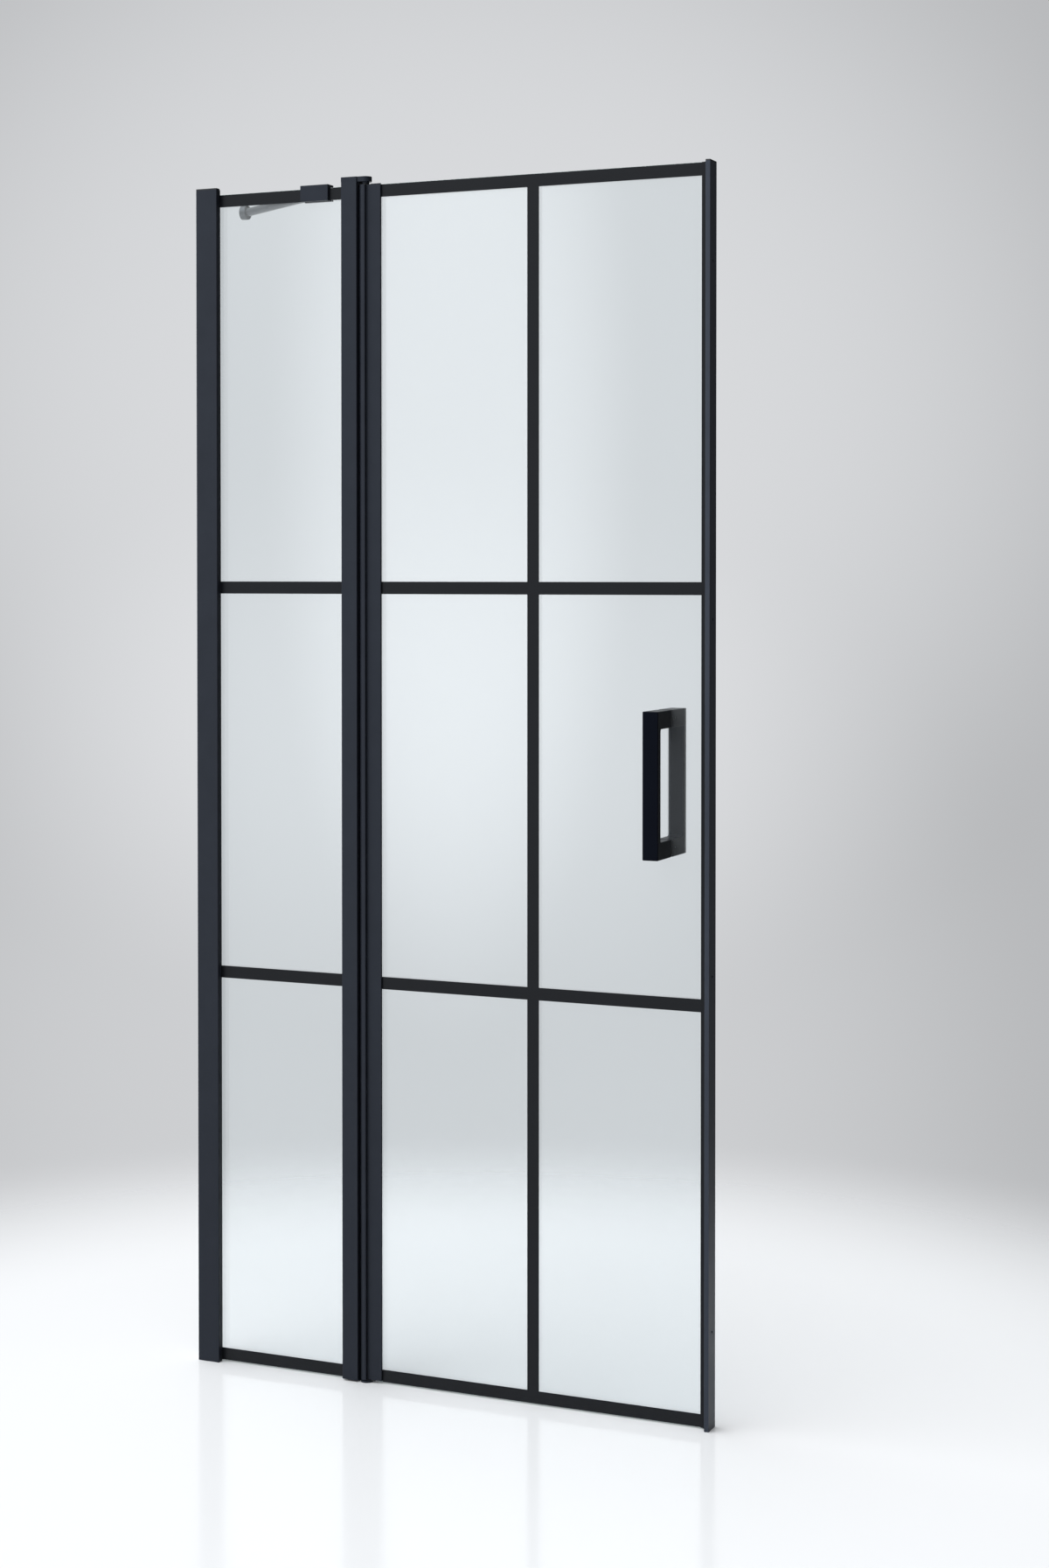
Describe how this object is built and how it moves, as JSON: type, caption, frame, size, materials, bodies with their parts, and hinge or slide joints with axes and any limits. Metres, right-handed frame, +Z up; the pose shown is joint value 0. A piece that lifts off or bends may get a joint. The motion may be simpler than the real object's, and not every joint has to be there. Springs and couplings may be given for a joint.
{
  "type": "shower screen",
  "caption": "Niche shower screen with a fixed in-line glass panel and a glass door swinging out on pivots, black profiles, printed grid, bow handle and stabiliser bar.",
  "frame": {"origin": "on the left wall's face, in the middle plane of the glass, at floor level", "axes": "+X along the screen from the left wall to the right, +Y into the shower, +Z up"},
  "size_m": [0.9, 0.2155, 1.948],
  "materials": {
    "black_aluminium": "satin black powder coat on extruded aluminium",
    "black_casting": "satin black powder coat on cast zinc",
    "mill_aluminium": "mill finish",
    "satin_metal": "satin grey stainless steel",
    "steel": "zinc plated",
    "clear_glass": "polished clear toughened glass",
    "black_enamel": "black ceramic print fired on the glass",
    "black_plastic": "fine moulded grain",
    "black_seal": "extruded black seal",
    "black_rubber": "matt",
    "nylon": "black bearing nylon"
  },
  "bodies": {
    "frame": {"wall_channel": "mill_aluminium", "panel_profile": "black_aluminium", "panel_profile_cap": "black_plastic", "panel_lock_screws": "steel", "wall_gaskets": "black_rubber", "post_gaskets": "black_rubber", "fixed_glass": "clear_glass", "fixed_grid": "black_enamel", "hinge_post": "black_aluminium", "hinge_seal": "black_rubber", "top_pivot_arm": "black_casting", "bottom_pivot_arm": "black_casting", "arm_screws": "steel", "top_pivot_pin": "steel", "bottom_pivot_pin": "steel", "brace_clip": "black_casting", "brace_pressure_plate": "steel", "brace_clip_pads": "black_rubber", "brace_clip_screws": "steel", "brace_bar": "satin_metal", "brace_flange": "satin_metal", "brace_wall_plate": "satin_metal", "brace_grub_screws": "steel", "strike_profile": "black_aluminium", "strike_magnet": "black_rubber", "strike_cap": "black_plastic"},
    "door": {"door_stile": "black_aluminium", "stile_top_cap": "black_plastic", "stile_bottom_cap": "black_plastic", "top_bush": "nylon", "bottom_bush": "nylon", "door_gaskets": "black_rubber", "door_glass": "clear_glass", "door_grid": "black_enamel", "door_magnet_seal": "black_seal", "door_magnet": "black_rubber", "handle_outer": "black_casting", "handle_inner": "black_casting", "handle_pads": "black_rubber", "handle_studs": "steel", "handle_grub_screws": "steel"}
  },
  "joints": [
    {"name": "door_hinge", "type": "hinge", "parent": "frame", "child": "door", "pos_m": [0.3098, -0.003, 0], "axis": [0, 0, -1], "range_deg": [0, 100]}
  ]
}
